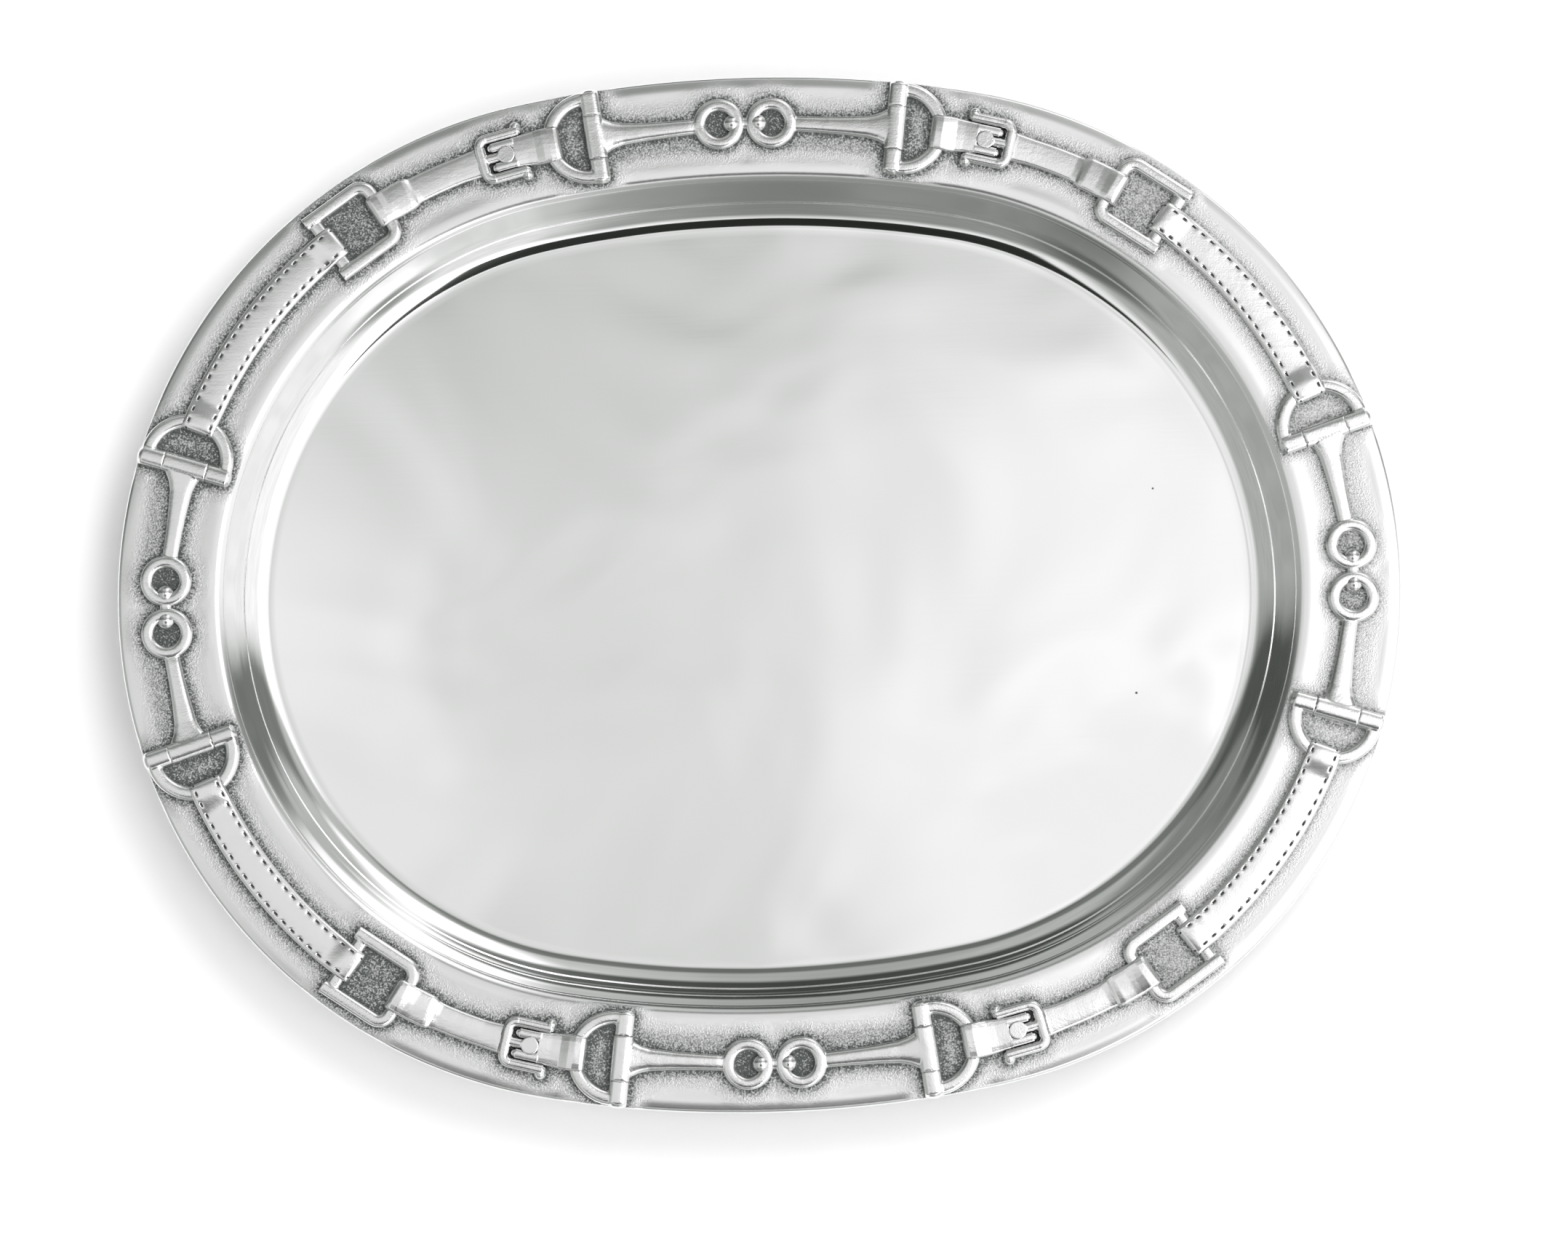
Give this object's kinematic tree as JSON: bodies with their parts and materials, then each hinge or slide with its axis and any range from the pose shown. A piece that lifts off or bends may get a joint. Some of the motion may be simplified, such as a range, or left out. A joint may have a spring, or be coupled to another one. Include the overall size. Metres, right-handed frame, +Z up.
{
  "type": "serving tray",
  "caption": "Oval cast aluminium serving tray with a flat rim, a shallow well and a relief border of snaffle bits, straps, keepers and buckles.",
  "frame": {"origin": "middle of the flat underside, on the surface the tray stands on", "axes": "+X along the tray's length, +Y along its width, +Z up out of the well"},
  "size_m": [0.4568, 0.371, 0.0252],
  "materials": {
    "polished_body": "mirror polished floor and wall, sand-textured rim darkened beside the relief",
    "tack_relief": "polished high points with dark antiqued edges",
    "strap_relief": "polished, with dark stitches and edges"
  },
  "bodies": {
    "root": {"tray_body": "polished_body", "link_e": "tack_relief", "link_w": "tack_relief", "link_n": "tack_relief", "link_s": "tack_relief", "cannon_end_ne": "tack_relief", "cannon_end_nw": "tack_relief", "cannon_end_sw": "tack_relief", "cannon_end_se": "tack_relief", "cannon_side_ne": "tack_relief", "cannon_side_nw": "tack_relief", "cannon_side_sw": "tack_relief", "cannon_side_se": "tack_relief", "dee_end_ne": "tack_relief", "dee_end_nw": "tack_relief", "dee_end_sw": "tack_relief", "dee_end_se": "tack_relief", "dee_side_ne": "tack_relief", "dee_side_nw": "tack_relief", "dee_side_sw": "tack_relief", "dee_side_se": "tack_relief", "keeper_ne": "tack_relief", "keeper_nw": "tack_relief", "keeper_sw": "tack_relief", "keeper_se": "tack_relief", "stitched_strap_ne": "strap_relief", "stitched_strap_nw": "strap_relief", "stitched_strap_sw": "strap_relief", "stitched_strap_se": "strap_relief", "narrow_strap_ne": "strap_relief", "narrow_strap_nw": "strap_relief", "narrow_strap_sw": "strap_relief", "narrow_strap_se": "strap_relief", "buckle_ne": "tack_relief", "buckle_nw": "tack_relief", "buckle_sw": "tack_relief", "buckle_se": "tack_relief", "billet_ne": "strap_relief", "billet_nw": "strap_relief", "billet_sw": "strap_relief", "billet_se": "strap_relief"}
  },
  "joints": []
}
